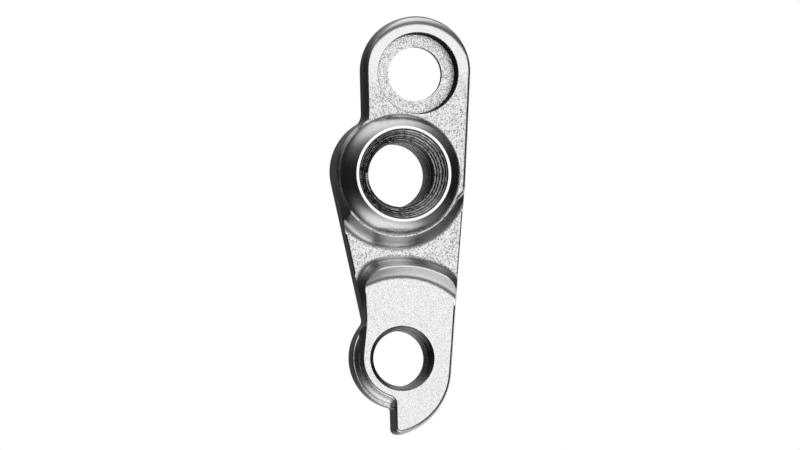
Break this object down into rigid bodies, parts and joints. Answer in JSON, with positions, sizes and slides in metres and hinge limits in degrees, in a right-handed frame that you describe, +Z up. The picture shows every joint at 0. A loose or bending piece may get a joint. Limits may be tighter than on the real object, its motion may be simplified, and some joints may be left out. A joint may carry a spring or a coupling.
{
  "type": "bicycle derailleur hanger",
  "caption": "One-piece aluminium derailleur hanger with a threaded axle boss, a recessed frame bolt hole and a threaded lower lobe with a stop tang.",
  "frame": {"origin": "on the axle thread's axis, in the plane of the seat that bears on the bicycle frame", "axes": "+Z up from the derailleur hole to the frame bolt hole, +X to the right seen from outside, +Y inwards along the axle thread; the outer side looks towards -Y"},
  "size_m": [0.0227, 0.013, 0.0679],
  "materials": {
    "aluminium": "fine bead-blasted flats, satin domed boss, bright machined ring and threads"
  },
  "bodies": {
    "root": {"hanger": "aluminium"}
  },
  "joints": []
}
